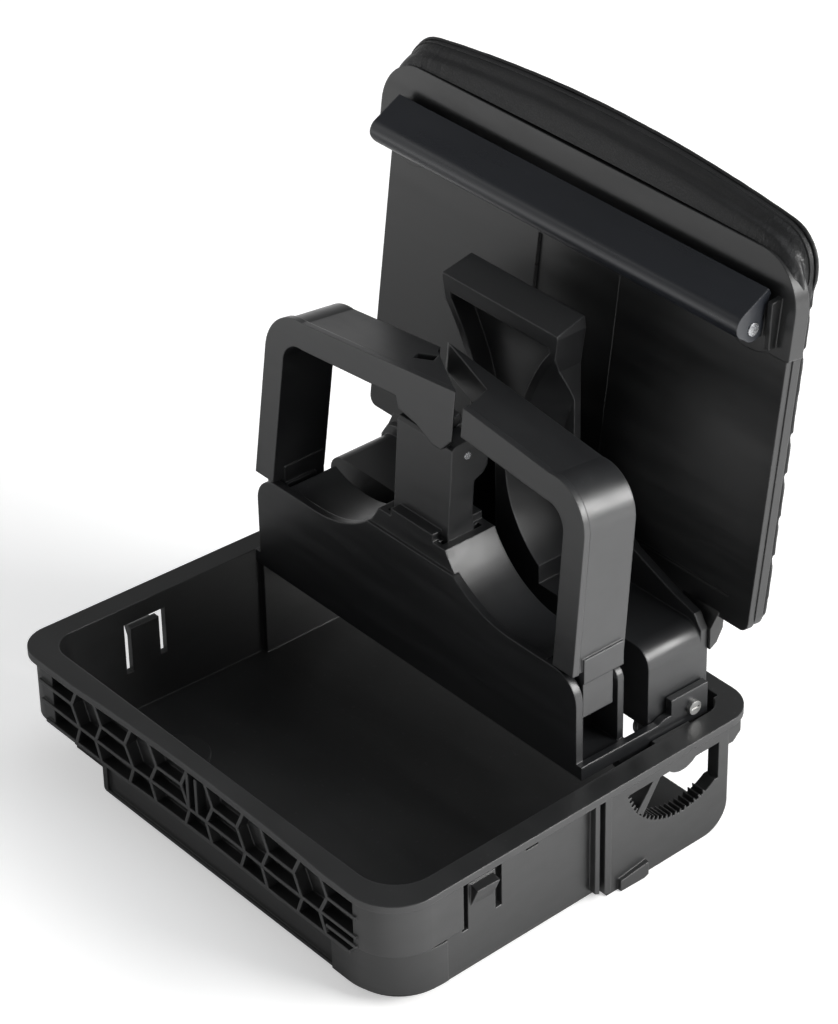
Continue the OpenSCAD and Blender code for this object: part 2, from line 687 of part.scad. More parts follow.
module lid_panel() {
  hw = lid_w / 2;
  band_w = hw + 3.2;
  color([0.06, 0.06, 0.065]) difference() {
    union() {
      lid_frame() {
        difference() {
          front_plate(0, 2.3) lid_outline(hw, 0, lid_l - 1, 3, 15);
          // Shallow channel down the middle and a fine line near the hinge edge
          translate([-16.8, -1, 9]) cube([33.6, 1.9, 74]);
          translate([-hw + 8.7, -0.5, 7.6]) cube([lid_w - 17.4, 0.8, 0.8]);
        }
        // Raised band behind the latch bar
        difference() {
          front_plate(-2.9, 2.3) lid_outline(band_w, 85.6, lid_l, 1, 15);
          front_plate(-0.4, 3) lid_outline(hw - 2.4, 88, lid_l - 2.6, 1, 13);
        }
      }
      // Ears that carry the latch bar
      for (s = [-1, 1]) {
        cap_in = (s > 0 ? bar_half : bar_left) - bar_cap;
        out_in = cap_in + bar_cap + 0.9;
        side_plate(s > 0 ? cap_in - 0.5 - ear_t : -cap_in + 0.5, s > 0 ? cap_in - 0.5 : -cap_in + 0.5 + ear_t) {
          translate([bar_y, bar_z]) circle(r = 3.5);
          polygon([[bar_y - 1.4, bar_z - 3.2], [bar_y - 1.4, bar_z + 3.2], [bar_y + 9.4, bar_z + 5.6],
            [bar_y + 8.6, bar_z - 6.8]]);
        }
        side_plate(s > 0 ? out_in : -out_in - 1.7, s > 0 ? out_in + 1.7 : -out_in)
          polygon([[bar_y + 4.3, bar_z + 7.1], [bar_y + 9.5, bar_z + 7.5], [bar_y + 7.5, bar_z - 6.9],
            [bar_y + 3.5, bar_z - 6.9]]);
      }
      // Brackets that join the lid to the rear block
      for (s = [-1, 1]) {
        side_plate(s > 0 ? cheek_x - 13.9 : -cheek_x - 0.6, s > 0 ? cheek_x + 0.6 : -cheek_x + 13.9)
          polygon([[block_back + 0.05, hub_z + 21.6], [block_back + 0.05, hub_z + 28.6], [63.4, hub_z + 33.2],
            [64.8, hub_z + 33.2], [65.2, hub_z + 31.2], [64.9, hub_z + 27], [62.6, hub_z + 23]]);
      }
    }
    x_bar(-bar_half - 3, bar_half + 3, bar_y, bar_z, bar_pin_r);
    for (s = [-1, 1]) {
      y_bar(block_back - 2, block_back + 4.6, s * lid_screw_x, lid_screw_z, screw_r);
      y_bar(block_back + 2.6, block_back + 10, s * lid_screw_x, lid_screw_z, 2.7);
    }
  }
}

module lid_shell() {
  hw = lid_w / 2 + 0.3;
  color([0.05, 0.05, 0.055]) lid_frame() difference() {
    union() {
      front_plate(2.3, 5.2) lid_outline(hw, 0.4, lid_l + 1, 4, 16);
      front_plate(2.3, 5.2) intersection() {
        translate([0, lid_l + 2.4 - 400]) circle(r = 400, $fn = 256);
        translate([-hw + 20, lid_l - 20]) square([2 * hw - 40, 40]);
      }
    }
    // Moulded recess in the hidden face
    front_plate(3.9, 6) lid_outline(hw - 4, 5, lid_l - 4, 3, 12);
  }
}

// Points of an arc, from one angle to another
function arc_pts(cx, cz, r, a0, a1, n) =
  [for (i = [0 : n]) [cx + r * cos(a0 + (a1 - a0) * i / n), cz + r * sin(a0 + (a1 - a0) * i / n)]];

// Front view of the padded cover with its arched free edge
module cover_outline(hw, h0, h1, r, rise) {
  big = hw * hw / (2 * rise);
  cx = hw - r;
  a = atan(cx / big);
  xt = cx + r * sin(a);
  cz = h1 - xt * xt / (2 * big) - r * cos(a);
  polygon(concat(
    arc_pts(hw - 4, h0 + 4, 4, -90, 0, 4),
    arc_pts(cx, cz, r, 0, 90 - a, 7),
    [for (i = [1 : 11]) let (x = xt * (1 - i / 6)) [x, h1 - x * x / (2 * big)]],
    arc_pts(-cx, cz, r, 90 + a, 180, 7),
    arc_pts(-hw + 4, h0 + 4, 4, 180, 270, 4)));
}

module lid_cover() {
  top = lid_l + cover_over;
  hw = lid_w / 2;
  color([0.07, 0.07, 0.075]) lid_frame() difference() {
    intersection() {
      front_plate(0.2, 5.3 + pad_t + 1) cover_outline(hw + 0.6, 0.6, top, 12, cover_rise);
      // Crown of the pad
      translate([0, 0, -20]) linear_extrude(height = 180)
        polygon(concat([[-hw - 3, -1]], [for (x = [-84 : 12 : 84]) [x * (hw + 3) / 84, 5.3 + pad_t - x * x / 1800]],
          [[hw + 3, -1]]));
    }
    front_plate(-1, 5.25) cover_outline(hw + 2.3, -4, lid_l + 2.9, 14, 2.4);
    // Slope of the free edge
    side_plate(-100, 100) polygon([[-2, top - 7.4], [0.2, top - 6.6], [7.6, top + 0.2], [7.6, top + 4],
      [-2, top + 4]]);
  }
}

// Round front of the latch bar, seen from the side
module bar_round(r) {
  translate([-2.1, 1.8]) circle(r = r);
}

// Side view of the latch bar, drawn round the axis of its pin
module bar_strip() {
  difference() {
    union() {
      bar_round(4);
      polygon([[-3.95, 5.34], [5.4, 10.25], [6.3, 8.5], [-1.9, 2], [-3.9, 2]]);
    }
    bar_round(2.1);
    polygon([[-3.07, 3.66], [3.5, 7.1], [10.1, 4], [1.1, -6], [-4.1, -6], [-4, 1.8]]);
  }
}

module bar_end() {
  bar_round(4);
  circle(r = 3.8);
  polygon([[-3.95, 5.34], [5.4, 10.25], [6.1, 8.9], [2.9, 1], [1.7, -3.2], [-1.5, -3.4], [-4.4, -1.4]]);
}

module latch_bar() {
  color([0.09, 0.095, 0.105]) difference() {
    translate([0, bar_y, bar_z]) union() {
      // Long curved strip
      side_plate(-bar_left, bar_half) bar_strip();
      // End caps that turn on the pin
      side_plate(bar_half - bar_cap, bar_half) bar_end();
      side_plate(-bar_left, -bar_left + bar_cap) bar_end();
    }
    x_bar(-bar_half - 1, bar_half + 1, bar_y, bar_z, bar_pin_r + run_clear);
    // Rounded lower corner at the left end
    translate([0, bar_y, bar_z]) front_plate(-9, -2.6) difference() {
      translate([-bar_left - 1, -6]) square([5.5, 8.3]);
      translate([-bar_left + 4.5, 2.3]) circle(r = 4.5);
    }
  }
}

module latch_pin() {
  color([0.8, 0.81, 0.83]) x_bar(-bar_left - 0.3, bar_half + 0.3, bar_y, bar_z, bar_pin_r);
}

module latch_spring() {
  color([0.6, 0.61, 0.63]) coil_x(bar_half - 10.6, 5, bar_y, bar_z, bar_pin_r + 0.75, 0.4, -68, -68, 5.6);
}

module hinge_pin(s) {
  x_in = cheek_x - 9.3;
  x_out = half_at(hub_y) - core_in + 2.6;
  color([0.78, 0.79, 0.81]) {
    x_bar(s > 0 ? x_in : -x_out, s > 0 ? x_out : -x_in, hub_y, hub_z, hinge_pin_r);
  }
}

module left_hinge_pin() {
  hinge_pin(-1);
}

module right_hinge_pin() {
  hinge_pin(1);
}

module hinge_spring(s) {
  color([0.6, 0.61, 0.63]) mirror([s > 0 ? 0 : 1, 0, 0])
    coil_x(cheek_x - 8.7, 4, hub_y, hub_z, hinge_pin_r + 1.1, 0.6, 50, 50, 5);
}

module left_hinge_spring() {
  hinge_spring(-1);
}

module right_hinge_spring() {
  hinge_spring(1);
}

module damper_body() {
  color([0.12, 0.12, 0.13]) difference() {
    union() {
      x_bar(-cheek_x + 0.02, -cheek_x + 5.6, gear_y, gear_z, 5);
      x_bar(-cheek_x + 5, -cheek_x + 6.2, gear_y, gear_z, 3.4);
    }
    x_bar(-cheek_x - 1, -cheek_x + 4, gear_y, gear_z, 1.2 + run_clear);
  }
}

module damper_gear() {
  x0 = -half_at(30) + wall_in - 1;
  color([0.85, 0.85, 0.82]) {
    side_plate(x0, -cheek_x - cheek_t - 0.3) translate([gear_y, gear_z]) {
      circle(r = gear_r - 0.7);
      for (i = [0 : gear_teeth - 1]) {
        rotate(gear_deg + i * 360 / gear_teeth)
          polygon([[1, -0.42], [gear_r - 0.7, -0.38], [gear_r + 0.4, -0.14], [gear_r + 0.4, 0.14],
            [gear_r - 0.7, 0.38], [1, 0.42]]);
      }
    }
    x_bar(-cheek_x - cheek_t - 0.4, -cheek_x + 3.8, gear_y, gear_z, 1.2);
  }
}

// Pan head screw along Y, head towards the back
module screw_y(x, y, z) {
  y_bar(y - 7, y, x, z, screw_r);
  difference() {
    y_bar(y, y + 1.6, x, z, 2.4);
    translate([x - 0.35, y + 0.9, z - 1.6]) cube([0.7, 2, 3.2]);
    translate([x - 1.6, y + 0.9, z - 0.35]) cube([3.2, 2, 0.7]);
  }
}

module lid_screws() {
  color([0.55, 0.56, 0.58]) for (s = [-1, 1]) {
    screw_y(s * lid_screw_x, block_back + 2.6, lid_screw_z);
  }
}

module block_screws() {
  seat = cheek_x + cheek_t;
  color([0.55, 0.56, 0.58]) for (s = [-1, 1]) {
    x_bar(s > 0 ? seat - 11.2 : -seat - 0.1, s > 0 ? seat + 0.1 : -seat + 11.2, side_screw_y, side_screw_z,
      screw_r);
    difference() {
      x_bar(s > 0 ? seat : -seat - 1.4, s > 0 ? seat + 1.4 : -seat, side_screw_y, side_screw_z, 2 * screw_r);
      translate([s * (seat + 1.4) - 0.4, side_screw_y - 1.4, side_screw_z - 0.3]) cube([0.8, 2.8, 0.6]);
    }
  }
}

housing();
carrier();
rear_block();
left_arm();
right_arm();
left_arm_pin();
right_arm_pin();
left_arm_spring();
right_arm_spring();
arm_catch();
catch_pin();
catch_spring();
lid_panel();
lid_shell();
lid_cover();
latch_bar();
latch_pin();
latch_spring();
left_hinge_pin();
right_hinge_pin();
left_hinge_spring();
right_hinge_spring();
damper_body();
damper_gear();
lid_screws();
block_screws();
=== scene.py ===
import math

import bmesh
import bpy
from mathutils import Matrix, Vector, noise
from mathutils.bvhtree import BVHTree


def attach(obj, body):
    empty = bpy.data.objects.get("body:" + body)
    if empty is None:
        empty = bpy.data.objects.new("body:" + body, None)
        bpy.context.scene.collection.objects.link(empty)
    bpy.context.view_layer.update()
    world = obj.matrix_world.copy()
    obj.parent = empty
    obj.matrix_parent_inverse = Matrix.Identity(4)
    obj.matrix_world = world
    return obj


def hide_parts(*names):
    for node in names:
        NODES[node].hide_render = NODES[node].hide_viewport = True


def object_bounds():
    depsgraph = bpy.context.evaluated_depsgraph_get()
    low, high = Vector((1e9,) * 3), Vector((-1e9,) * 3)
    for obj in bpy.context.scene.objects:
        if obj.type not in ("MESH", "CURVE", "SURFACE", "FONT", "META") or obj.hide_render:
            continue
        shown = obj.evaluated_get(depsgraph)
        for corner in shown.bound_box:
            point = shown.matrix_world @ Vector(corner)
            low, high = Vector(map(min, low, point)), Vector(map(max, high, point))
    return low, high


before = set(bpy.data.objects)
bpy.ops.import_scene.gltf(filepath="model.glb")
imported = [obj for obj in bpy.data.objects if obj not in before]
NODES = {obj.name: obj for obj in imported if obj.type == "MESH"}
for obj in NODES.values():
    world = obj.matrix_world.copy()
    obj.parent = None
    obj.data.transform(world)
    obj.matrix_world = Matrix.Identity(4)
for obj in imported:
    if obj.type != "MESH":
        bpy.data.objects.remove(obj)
cad_lo, cad_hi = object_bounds()
MM = 0.001


# ---------------------------------------------------------------- materials
class Nodes:
    """Small helper that strings shader nodes together in one node tree."""

    def __init__(self, tree):
        self.t = tree

    def node(self, kind, **props):
        n = self.t.nodes.new("ShaderNode" + kind)
        for k, v in props.items():
            setattr(n, k, v)
        return n

    def link(self, a, b):
        self.t.links.new(a, b)

    def ramp(self, src, lo, hi, a=0.0, b=1.0):
        """src from lo to hi gives a to b, with soft ends."""
        n = self.node("MapRange", clamp=True, interpolation_type="SMOOTHSTEP")
        self.link(src, n.inputs["Value"])
        for socket, v in (("From Min", lo), ("From Max", hi), ("To Min", a), ("To Max", b)):
            n.inputs[socket].default_value = v
        return n.outputs["Result"]

    def feed(self, socket, v):
        """A number goes on the socket itself, an output is linked to it."""
        if isinstance(v, (int, float)):
            socket.default_value = v
        else:
            self.link(v, socket)

    def math(self, op, a, b):
        n = self.node("Math", operation=op)
        self.feed(n.inputs[0], a)
        self.feed(n.inputs[1], b)
        return n.outputs[0]

    def choose(self, fac, a, b):
        """The number a where fac is 0, b where it is 1."""
        n = self.node("Mix", data_type="FLOAT")
        for socket, v in zip(n.inputs, (fac, None, a, b)):
            if v is not None:
                self.feed(socket, v)
        return n.outputs[0]

    def axis(self, vector, name):
        n = self.node("SeparateXYZ")
        self.link(vector, n.inputs[0])
        return n.outputs[name]


class Mat(Nodes):
    """A Principled material with object coordinates."""

    def __init__(self, name):
        self.m = bpy.data.materials.new(name)
        self.m.use_nodes = True
        super().__init__(self.m.node_tree)
        self.b = next(n for n in self.t.nodes if n.type == "BSDF_PRINCIPLED")
        self.co = self.node("TexCoord").outputs["Object"]

    def noise(self, scale, detail=3.0, rough=0.5, stretch=None):
        n = self.node("TexNoise")
        n.inputs["Scale"].default_value = scale
        n.inputs["Detail"].default_value = detail
        n.inputs["Roughness"].default_value = rough
        src = self.co
        if stretch:
            mp = self.node("Mapping")
            mp.inputs["Scale"].default_value = stretch
            self.link(src, mp.inputs["Vector"])
            src = mp.outputs["Vector"]
        self.link(src, n.inputs["Vector"])
        return n.outputs["Fac"]

    def cells(self, feature, scale, vec):
        n = self.node("TexVoronoi", feature=feature)
        n.inputs["Scale"].default_value = scale
        self.link(vec, n.inputs["Vector"])
        return n.outputs["Distance"]

    def mix(self, fac, a, b):
        n = self.node("Mix", data_type="RGBA")
        self.link(fac, n.inputs["Factor"])
        for i, v in (("A", a), ("B", b)):
            s = [x for x in n.inputs if x.name == i and x.type == "RGBA"][0]
            if isinstance(v, tuple):
                s.default_value = (*v, 1.0)
            else:
                self.link(v, s)
        return [x for x in n.outputs if x.type == "RGBA"][0]

    def bump(self, height, strength, distance, normal=None):
        n = self.node("Bump")
        n.inputs["Strength"].default_value = strength
        n.inputs["Distance"].default_value = distance
        self.link(height, n.inputs["Height"])
        if normal is not None:
            self.link(normal, n.inputs["Normal"])
        return n.outputs["Normal"]

    def soft_edges(self, radius):
        n = self.node("Bevel", samples=4)
        n.inputs["Radius"].default_value = radius
        return n.outputs["Normal"]

    def edges(self, radius):
        """1 on sharp outer edges, 0 elsewhere."""
        d = self.node("VectorMath", operation="DOT_PRODUCT")
        self.link(self.soft_edges(radius), d.inputs[0])
        self.link(self.node("NewGeometry").outputs["Normal"], d.inputs[1])
        return self.ramp(d.outputs["Value"], 0.995, 0.90)

    def done(self, color, rough, normal, metal=0.0, spec=0.5):
        self.link(color, self.b.inputs["Base Color"])
        self.link(rough, self.b.inputs["Roughness"])
        self.link(normal, self.b.inputs["Normal"])
        self.b.inputs["Metallic"].default_value = metal
        self.b.inputs["Specular IOR Level"].default_value = spec
        return self.m


def shade(color, f):
    return tuple(c * f for c in color)


def plastic(name, base, rough, grain, grain_mm, edge, dust, spec):
    """Moulded black plastic: fine texture, flow variation, scuffs, edges lightened as a painted
    highlight and worn smoother, settled dust.
    """
    k = Mat(name)
    cloudy = k.noise(14.0, 4.0, 0.6)
    fine = k.noise(1000.0 / grain_mm, 2.0, 0.55)
    streak = k.noise(90.0, 3.0, 0.6, stretch=(0.25, 1.0, 2.2))
    scuff = k.ramp(k.noise(420.0, 5.0, 0.7, stretch=(1.0, 0.18, 0.4)), 0.62, 0.78)
    # painted highlight: sharp edges are lightened in colour as if they caught the light; the same mask
    # also makes them a little smoother, as wear does
    edge_highlight_and_wear = k.math("MULTIPLY", k.edges(0.9 * MM), k.ramp(cloudy, 0.35, 0.75, 0.25, 1.0))
    flat = k.ramp(k.axis(k.node("NewGeometry").outputs["Normal"], "Z"), 0.55, 0.98)
    specks = k.ramp(k.noise(650.0, 2.0, 0.5), 0.66, 0.74)
    film = k.ramp(k.noise(35.0, 4.0, 0.6), 0.3, 0.8, 0.15, 1.0)
    dusty = k.math("MULTIPLY", k.math("MULTIPLY", flat, film), dust)
    lint = k.math("MULTIPLY", k.math("MULTIPLY", flat, specks), dust * 0.5)
    body = k.mix(k.ramp(cloudy, 0.3, 0.7), base, shade(base, 1.22))
    # the painted edge highlight, lighter than the base colour
    body = k.mix(k.math("MULTIPLY", edge_highlight_and_wear, edge), body, tuple(c * 3.0 + 0.035 for c in base))
    body = k.mix(k.math("MULTIPLY", dusty, 0.05), body, (0.16, 0.165, 0.17))
    body = k.mix(k.math("MULTIPLY", lint, 0.22), body, (0.20, 0.20, 0.20))
    r = k.ramp(streak, 0.25, 0.8, rough - 0.05, rough + 0.06)
    r = k.math("ADD", r, k.math("MULTIPLY", scuff, 0.07))
    r = k.math("SUBTRACT", r, k.math("MULTIPLY", edge_highlight_and_wear, 0.06))
    n = k.bump(fine, grain, 0.05 * MM, k.soft_edges(0.55 * MM))
    n = k.bump(k.noise(26.0, 2.0, 0.4), 0.10, 0.5 * MM, n)
    n = k.bump(scuff, 0.12, 0.02 * MM, n)
    return k.done(body, r, n, spec=spec)


def leather(name, base):
    """Black grained cover: cell grain with pores and creases."""
    k = Mat(name)
    warp = k.node("VectorMath", operation="ADD")
    wn = k.node("TexNoise")
    wn.inputs["Scale"].default_value = 300.0
    k.link(k.co, wn.inputs["Vector"])
    sc = k.node("VectorMath", operation="SCALE")
    sc.inputs["Scale"].default_value = 0.0012
    k.link(wn.outputs["Color"], sc.inputs[0])
    k.link(k.co, warp.inputs[0])
    k.link(sc.outputs[0], warp.inputs[1])
    cell = k.ramp(k.cells("DISTANCE_TO_EDGE", 1250.0, warp.outputs[0]), 0.0, 0.22)
    pore = k.ramp(k.cells("F1", 2600.0, warp.outputs[0]), 0.0, 0.5)
    crease = k.ramp(k.noise(150.0, 4.0, 0.65, stretch=(0.35, 1.0, 1.6)), 0.42, 0.5)
    # puckers where the cover is pulled round its two free corners
    side = k.ramp(k.math("ABSOLUTE", k.axis(k.co, "X"), 0.0), 0.045, 0.072)
    high = k.ramp(k.axis(k.co, "Z"), 0.160, 0.174)
    folds = k.noise(420.0, 3.0, 0.6, stretch=(1.0, 0.35, 0.5))
    pucker = k.math("MULTIPLY", k.math("MULTIPLY", side, high), folds)
    cloudy = k.noise(22.0, 4.0, 0.6)
    body = k.mix(cell, shade(base, 0.7), base)
    body = k.mix(k.ramp(cloudy, 0.35, 0.75), body, shade(base, 1.35))
    r = k.ramp(cell, 0.0, 1.0, 0.60, 0.44)
    r = k.math("ADD", r, k.ramp(cloudy, 0.3, 0.8, -0.06, 0.06))
    n = k.bump(cell, 0.28, 0.06 * MM)
    n = k.bump(pore, 0.16, 0.03 * MM, n)
    n = k.bump(crease, 0.22, 0.14 * MM, n)
    n = k.bump(pucker, 0.9, 0.5 * MM, n)
    return k.done(body, r, n, spec=0.42)


def steel(name, base, rough, across=(1.0, 60.0, 60.0)):
    """Drawn steel with fine lines along its length and a little tarnish."""
    k = Mat(name)
    line = k.noise(60.0, 3.0, 0.6, stretch=across)
    spot = k.noise(240.0, 4.0, 0.65)
    body = k.mix(k.ramp(spot, 0.5, 0.8), base, shade(base, 0.55))
    r = k.ramp(line, 0.25, 0.75, rough - 0.07, rough + 0.1)
    n = k.bump(line, 0.2, 0.02 * MM, k.soft_edges(0.2 * MM))
    return k.done(body, r, n, metal=1.0)


# name, colour, roughness, strength of the grain and its size in mm, then how strongly edges are
# lightened as a painted highlight, dust and gloss
tray_mat = plastic("tray_black", (0.0105, 0.0108, 0.0112), 0.42, 0.30, 0.35, 0.45, 0.7, 0.75)
frame_mat = plastic("frame_black", (0.0105, 0.011, 0.012), 0.36, 0.16, 0.30, 0.4, 0.4, 0.7)
arm_mat = plastic("arm_black", (0.0115, 0.0120, 0.0130), 0.36, 0.20, 0.26, 0.45, 0.5, 0.85)
lid_mat = plastic("lid_black", (0.0100, 0.0103, 0.0107), 0.33, 0.22, 0.28, 0.4, 0.3, 0.6)
bar_mat = plastic("bar_black", (0.0118, 0.0138, 0.0185), 0.30, 0.10, 0.22, 0.5, 0.3, 0.6)
gear_mat = plastic("gear_white", (0.55, 0.55, 0.50), 0.42, 0.12, 0.30, 0.1, 0.3, 0.5)
cover_mat = leather("cover_black", (0.0125, 0.0128, 0.0135))
pin_mat = steel("pin_steel", (0.62, 0.63, 0.65), 0.24)
wire_mat = steel("spring_wire", (0.42, 0.42, 0.44), 0.34, (40.0, 40.0, 1.0))
screw_mat = steel("screw_zinc", (0.48, 0.48, 0.47), 0.36, (20.0, 20.0, 20.0))

LOOK = {
    "housing": tray_mat,
    "carrier": frame_mat,
    "rear_block": frame_mat,
    "damper_body": frame_mat,
    "lid_shell": lid_mat,
    "lid_panel": lid_mat,
    "latch_bar": bar_mat,
    "left_arm": arm_mat,
    "right_arm": arm_mat,
    "arm_catch": arm_mat,
    "damper_gear": gear_mat,
    "lid_cover": cover_mat,
}
for name, obj in NODES.items():
    mat = LOOK.get(name)
    if mat is None:
        mat = pin_mat
        if name.endswith("_spring"):
            mat = wire_mat
        elif name.endswith("screws"):
            mat = screw_mat
    obj.data.materials.clear()
    obj.data.materials.append(mat)


# ------------------------------------------------------------ mesh helpers
def mesh_object(name, bm, mat, body):
    """A smooth-shaded object made of bm, which rides on that body if one is given."""
    bmesh.ops.recalc_face_normals(bm, faces=bm.faces)
    me = bpy.data.meshes.new(name)
    bm.to_mesh(me)
    bm.free()
    ob = bpy.data.objects.new(name, me)
    bpy.context.scene.collection.objects.link(ob)
    me.materials.append(mat)
    for p in me.polygons:
        p.use_smooth = True
    if body:
        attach(ob, body)
    return ob


# ------------------------------------------------------------ padded cover
LEAN = math.radians(7.7)  # how far the lid leans back at rest
ORIGIN = Vector((0.0, 63.05 * MM, 68.0 * MM))  # middle of the lid's hinge edge, on its inner face
# outlines across the lid, in mm: half width, foot, top, radii of the foot and top corners, and the
# rise of the arched top
PAD_EDGE = (81.9, 0.8, 125.4, 4, 12, 6.4)
WRAP_OUT = (82.4, 0.8, 125.4, 4, 12, 6.4)
WRAP_MID = (83.0, 0.8, 121.0, 4, 14, 5.2)
WRAP_LOW = (84.0, 0.8, 114.35, 4, 15, 0.8)
WRAP_FROM = 100.0  # height above which the cover wraps round the edge
PAD_MID = 58.0  # height of the cushion's middle
VOXEL = 1.7  # mm, mesh size of the simulated cushion
PUFF_MAX = 0.9  # mm, the most that the pressure moves a point
PUFF_FRAMES = 20
HELD_DEPTH, RIM_DEPTH = 7.2, 7.6  # mm: fixed in the simulation, and set back on the exact rim after it


def lid_point(x, depth, height):
    """A point given across the lid, behind its inner face and up from its hinge edge, in mm."""
    c, s = math.cos(LEAN), math.sin(LEAN)
    return ORIGIN + Vector((x, depth * c + height * s, height * c - depth * s)) * MM


def cover_top(x, h1, hw, rise):
    """Height of the arched top edge at x."""
    return h1 - x * x * rise / (hw * hw)


def cover_ring(hw, h0, h1, rb, rt, rise, step=3.0):
    """Closed outline of the cover seen from the front, as (x, height) points in mm."""
    pts = []

    def arc(cx, cz, r, a0, a1, n):
        for i in range(n + 1):
            a = math.radians(a0 + (a1 - a0) * i / n)
            pts.append((cx + r * math.cos(a), cz + r * math.sin(a)))

    a = math.degrees(math.atan(2 * rise * (hw - rt) / (hw * hw)))
    xt = hw - rt + rt * math.sin(math.radians(a))
    cz = cover_top(xt, h1, hw, rise) - rt * math.cos(math.radians(a))
    arc(hw - rb, h0 + rb, rb, -90, 0, 5)
    n = int((cz - h0 - rb) / step)
    for i in range(1, n):
        pts.append((hw, h0 + rb + (cz - h0 - rb) * i / n))
    arc(hw - rt, cz, rt, 0, 90 - a, 8)
    n = int(2 * xt / step)
    for i in range(1, n):
        x = xt * (1 - 2 * i / n)
        pts.append((x, cover_top(x, h1, hw, rise)))
    arc(-hw + rt, cz, rt, 90 + a, 180, 8)
    n = int((cz - h0 - rb) / step)
    for i in range(n - 1, 0, -1):
        pts.append((-hw, h0 + rb + (cz - h0 - rb) * i / n))
    arc(-hw + rb, h0 + rb, rb, 180, 270, 5)
    n = int(2 * (hw - rb) / step)
    for i in range(1, n):
        pts.append(((-hw + rb) + 2 * (hw - rb) * i / n, h0))
    return pts


def loft(rings, close_first=True, close_last=True):
    """Skin between rings of equal length, each a list of points."""
    bm = bmesh.new()
    rows = [[bm.verts.new(p) for p in r] for r in rings]
    n = len(rows[0])
    for a, b in zip(rows, rows[1:]):
        for i in range(n):
            bm.faces.new((a[i], a[(i + 1) % n], b[(i + 1) % n], b[i]))
    for row, use in ((rows[0], close_first), (rows[-1], close_last)):
        if use:
            c = bm.verts.new(sum((v.co for v in row), Vector()) / n)
            for i in range(n):
                bm.faces.new((row[i], row[(i + 1) % n], c))
    return bm


def shrink(ring, d):
    """The outline moved inward by d, point by point."""
    out = []
    n = len(ring)
    for i in range(n):
        a, b = Vector(ring[i - 1]), Vector(ring[(i + 1) % n])
        t = (b - a).normalized()
        p = Vector(ring[i])
        out.append((p.x - t.y * d, p.y + t.x * d))
    return out


def crown(x, h):
    """How full the cushion's outer face is: 1 in the middle, less towards the edges."""
    u = min(1.0, abs(x) / 82.9)
    v = min(1.0, max(0.0, h / PAD_EDGE[2]))
    return 1.0 - 0.75 * u**2.4 - 0.25 * (2 * v - 1) ** 4


def depth_of(co):
    """Depth of a point behind the lid's inner face, in mm."""
    normal = (lid_point(0, 1, 0) - lid_point(0, 0, 0)).normalized()
    return (co - ORIGIN).dot(normal) / MM


def bake(ob):
    """The object's mesh becomes what its modifiers make of it."""
    me = bpy.data.meshes.new_from_object(ob.evaluated_get(bpy.context.evaluated_depsgraph_get()))
    ob.modifiers.clear()
    ob.data = me
    return me


def puff(ob, shape):
    """Remesh the cushion, blow it up a little as cloth, and set its rim back on the lofted shape."""
    rm = ob.modifiers.new("remesh", "REMESH")
    rm.mode = "VOXEL"
    rm.voxel_size = VOXEL * MM
    me = bake(ob)
    start = [v.co.copy() for v in me.vertices]
    held = ob.vertex_groups.new(name="held")
    for v in me.vertices:
        held.add([v.index], 1.0 if depth_of(v.co) < HELD_DEPTH else 0.0, "REPLACE")
    cl = ob.modifiers.new("cloth", "CLOTH")
    cl.settings.use_pressure = True
    cl.settings.uniform_pressure_force = 4.0
    cl.settings.effector_weights.gravity = 0.0
    cl.settings.vertex_group_mass = held.name
    cl.settings.tension_stiffness = 30
    cl.settings.compression_stiffness = 30
    cl.settings.bending_stiffness = 2.0
    cl.settings.quality = 6
    cl.point_cache.frame_start, cl.point_cache.frame_end = 1, PUFF_FRAMES
    sc = bpy.context.scene
    for f in range(1, PUFF_FRAMES + 1):
        sc.frame_set(f)
    done = bake(ob)
    cap = PUFF_MAX * MM
    for v, p in zip(done.vertices, start):
        m = v.co - p
        if m.length > cap:
            v.co = p + m.normalized() * cap
    sc.frame_set(1)
    # the rim keeps its exact outline, only the crown stays puffed, and it is evened out
    bm = bmesh.new()
    bm.from_mesh(done)
    loose = []
    for v in bm.verts:
        if depth_of(v.co) < RIM_DEPTH:
            v.co = shape.find_nearest(v.co)[0]
        else:
            loose.append(v)
    for _ in range(6):
        bmesh.ops.smooth_vert(
            bm, verts=loose, factor=0.5, use_axis_x=True, use_axis_y=True, use_axis_z=True
        )
    bm.to_mesh(done)
    bm.free()
    if not done.materials:
        done.materials.append(cover_mat)


def make_cover():
    """The padded cover: a lofted cushion, puffed up by a short pressure simulation."""
    base = cover_ring(*PAD_EDGE)
    rings = []
    for d, y in ((0.5, 5.4), (0.1, 5.9), (0.0, 6.6), (0.45, 7.4), (1.4, 8.0), (3.0, 8.6)):
        rings.append([lid_point(x, y, h) for x, h in shrink(base, d)])
    inner = shrink(base, 5.4)
    for f in (1.0, 0.93, 0.85, 0.75, 0.62, 0.48, 0.33, 0.18):
        row = []
        for x, h in inner:
            px, ph = x * f, PAD_MID + (h - PAD_MID) * f
            row.append(lid_point(px, 8.9 + 1.7 * crown(px, ph) * (1 - f**6), ph))
        rings.append(row)
    bm = loft(rings)
    shape = BVHTree.FromBMesh(bm)
    ob = mesh_object("cover_pad", bm, cover_mat, None)
    bpy.context.view_layer.objects.active = ob
    puff(ob, shape)
    for p in ob.data.polygons:
        p.use_smooth = True
    sub = ob.modifiers.new("subsurf", "SUBSURF")
    sub.levels = sub.render_levels = 1
    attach(ob, "holder")
    return ob


